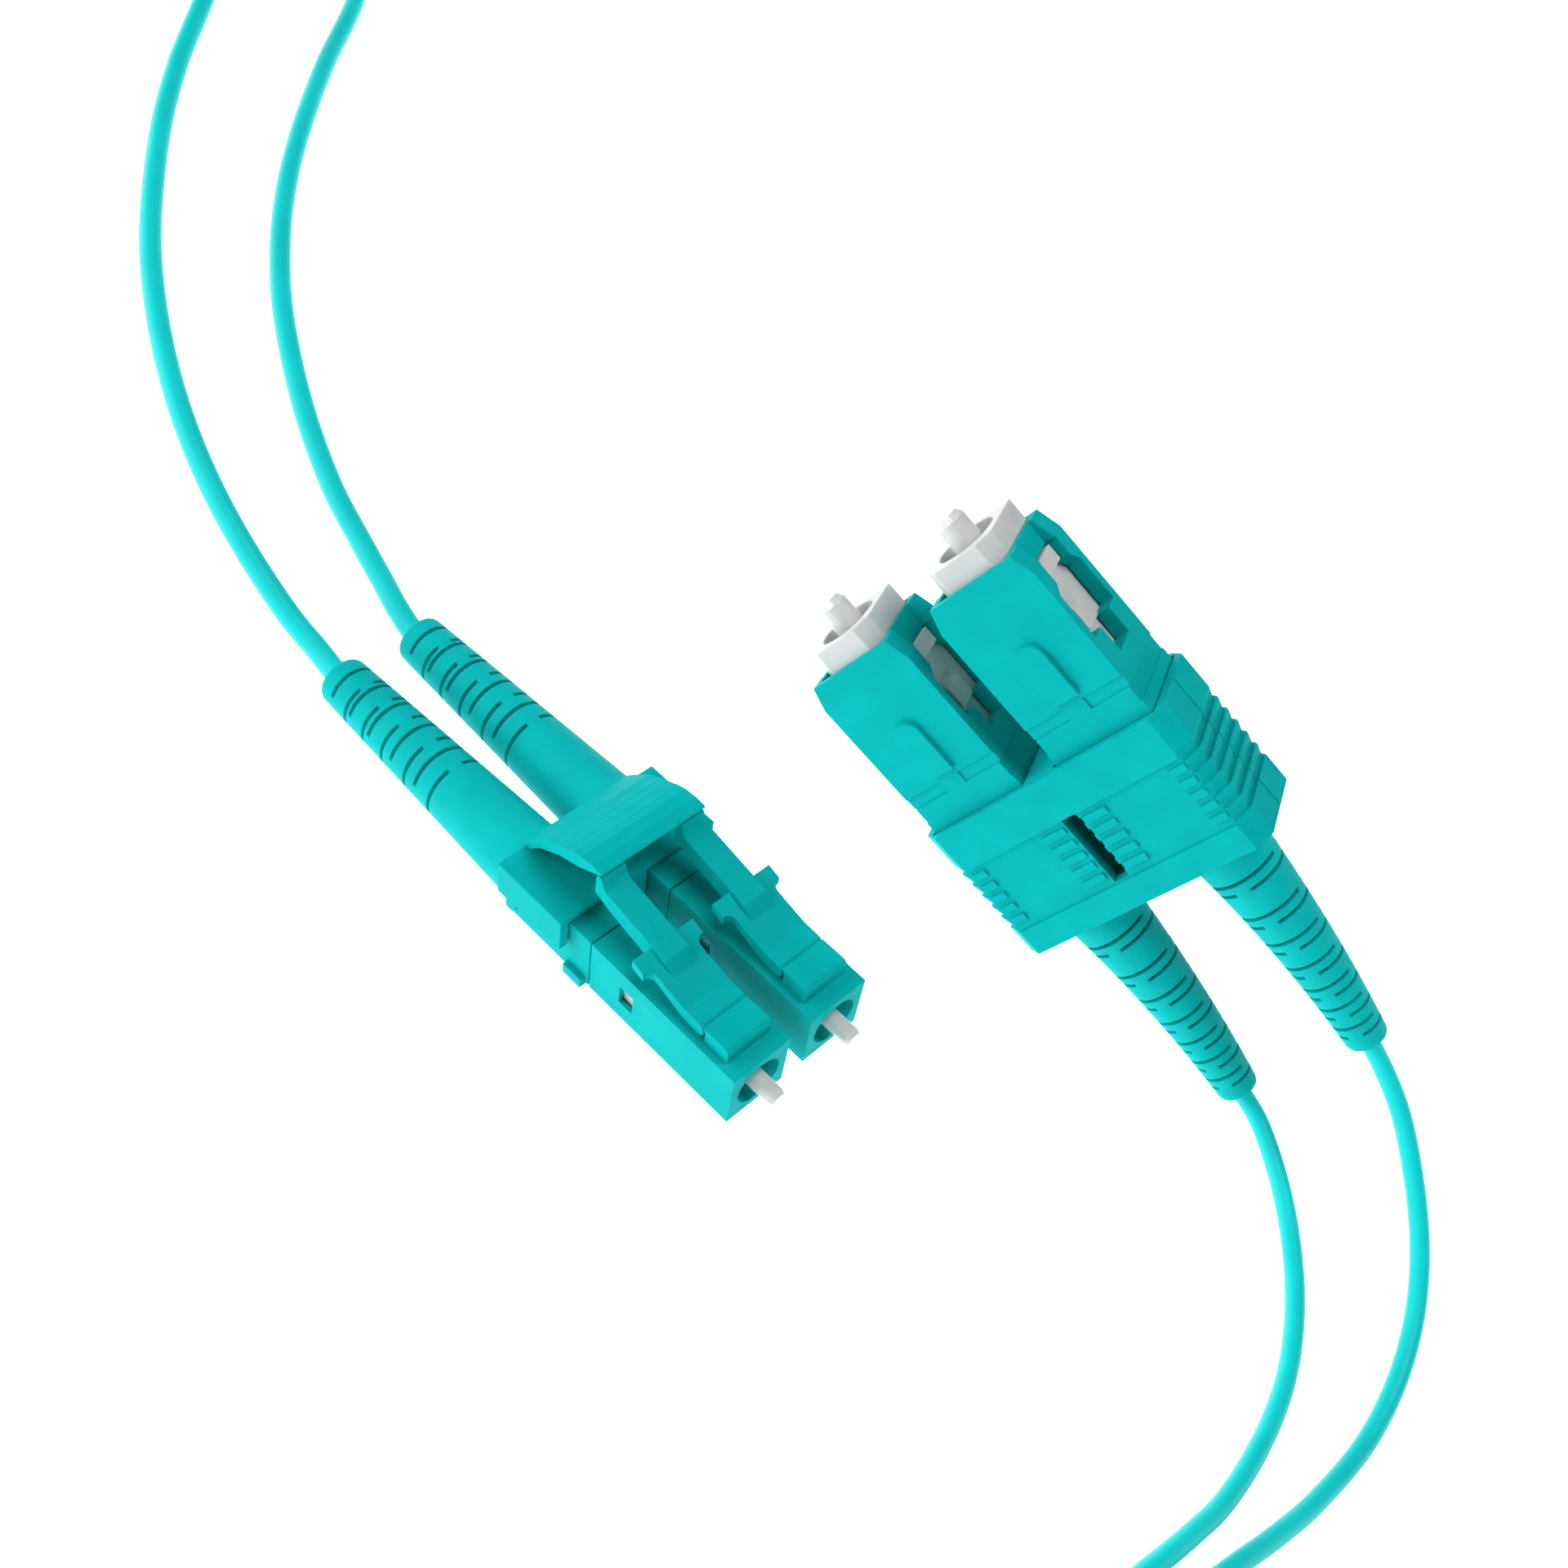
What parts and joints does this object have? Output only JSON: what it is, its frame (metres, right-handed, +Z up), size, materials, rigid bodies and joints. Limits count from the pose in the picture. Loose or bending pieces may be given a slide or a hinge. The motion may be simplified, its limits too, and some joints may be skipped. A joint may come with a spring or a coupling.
{
  "type": "fiber optic patch cord",
  "caption": "Duplex fibre patch cord with a small latched duplex plug at one end and a push-pull square duplex plug at the other, spare cord coiled and tied.",
  "frame": {"origin": "on the surface that the cord lies on, below the middle of the box round the two plugs", "axes": "+Z up from the surface, +X along the longest side of the box round the two plugs"},
  "size_m": [0.146, 0.1732, 0.0272],
  "materials": {
    "aqua_plastic": "moulded, satin",
    "aqua_boot": "moulded, satin",
    "aqua_jacket": "extruded, smooth",
    "white_plastic": "moulded",
    "zirconia": "polished",
    "spring_steel": "drawn",
    "nickelled_brass": "plated",
    "black_tie": "woven"
  },
  "bodies": {
    "root": {"lc_clip": "aqua_plastic", "lc_housing_a": "aqua_plastic", "lc_housing_b": "aqua_plastic", "lc_backbone_a": "aqua_plastic", "lc_backbone_b": "aqua_plastic", "lc_spring_a": "spring_steel", "lc_spring_b": "spring_steel", "lc_crimp_a": "nickelled_brass", "lc_crimp_b": "nickelled_brass", "lc_boot_a": "aqua_boot", "lc_boot_b": "aqua_boot", "sc_frame_a": "white_plastic", "sc_frame_b": "white_plastic", "sc_spring_a": "spring_steel", "sc_spring_b": "spring_steel", "sc_stop_ring_a": "nickelled_brass", "sc_stop_ring_b": "nickelled_brass", "sc_crimp_a": "nickelled_brass", "sc_crimp_b": "nickelled_brass", "sc_boot_a": "aqua_boot", "sc_boot_b": "aqua_boot", "cord_lc_a": "aqua_jacket", "cord_lc_b": "aqua_jacket", "cord_sc_a": "aqua_jacket", "cord_sc_b": "aqua_jacket", "cord_coil": "aqua_jacket", "cord_tie": "black_tie"},
    "lc_trigger_body": {"lc_trigger": "aqua_plastic"},
    "lc_latch_a_body": {"lc_latch_a": "aqua_plastic"},
    "lc_latch_b_body": {"lc_latch_b": "aqua_plastic"},
    "sc_grip": {"sc_sleeve_a": "aqua_plastic", "sc_sleeve_b": "aqua_plastic", "sc_clip_upper": "aqua_plastic", "sc_clip_lower": "aqua_plastic"},
    "lc_ferrule_a_body": {"lc_ferrule_a": "zirconia", "lc_flange_a": "white_plastic"},
    "lc_ferrule_b_body": {"lc_ferrule_b": "zirconia", "lc_flange_b": "white_plastic"},
    "sc_ferrule_a_body": {"sc_ferrule_a": "zirconia", "sc_flange_a": "nickelled_brass"},
    "sc_ferrule_b_body": {"sc_ferrule_b": "zirconia", "sc_flange_b": "nickelled_brass"}
  },
  "joints": [
    {"name": "lc_trigger_press", "type": "hinge", "parent": "root", "child": "lc_trigger_body", "pos_m": [-0.02948, -0.00617, 0.01268], "axis": [0.6948, 0.6486, 0.3106], "range_deg": [0, 12], "stiffness_Nm_per_rad": 0.0002},
    {"name": "lc_latch_a_press", "type": "hinge", "parent": "root", "child": "lc_latch_a_body", "pos_m": [-0.01832, -0.01615, 0.01861], "axis": [-0.6948, -0.6486, -0.3106], "range_deg": [0, 9.4], "stiffness_Nm_per_rad": 0.0002},
    {"name": "lc_latch_b_press", "type": "hinge", "parent": "root", "child": "lc_latch_b_body", "pos_m": [-0.02266, -0.02021, 0.01667], "axis": [-0.6948, -0.6486, -0.3106], "range_deg": [0, 9.4], "stiffness_Nm_per_rad": 0.0002},
    {"name": "lc_ferrule_a_push", "type": "slide", "parent": "root", "child": "lc_ferrule_a_body", "axis": [-0.555, 0.7583, -0.342], "range_m": [0, 0.0012], "stiffness_N_per_m": 1500, "deforming": ["lc_spring_a"]},
    {"name": "lc_ferrule_b_push", "type": "slide", "parent": "root", "child": "lc_ferrule_b_body", "axis": [-0.555, 0.7583, -0.342], "range_m": [0, 0.0012], "stiffness_N_per_m": 1500, "deforming": ["lc_spring_b"]},
    {"name": "sc_grip_slide", "type": "slide", "parent": "root", "child": "sc_grip", "axis": [-0.8636, 0.4866, 0.1323], "range_m": [0, 0.0012]},
    {"name": "sc_ferrule_a_push", "type": "slide", "parent": "root", "child": "sc_ferrule_a_body", "axis": [0.8636, -0.4866, -0.1323], "range_m": [0, 0.0012], "stiffness_N_per_m": 2000, "deforming": ["sc_spring_a"]},
    {"name": "sc_ferrule_b_push", "type": "slide", "parent": "root", "child": "sc_ferrule_b_body", "axis": [0.8636, -0.4866, -0.1323], "range_m": [0, 0.0012], "stiffness_N_per_m": 2000, "deforming": ["sc_spring_b"]}
  ],
  "couplings": [
    {"joint": "lc_latch_a_press", "follows": "lc_trigger_press", "ratio": 0.78},
    {"joint": "lc_latch_b_press", "follows": "lc_trigger_press", "ratio": 0.78}
  ]
}
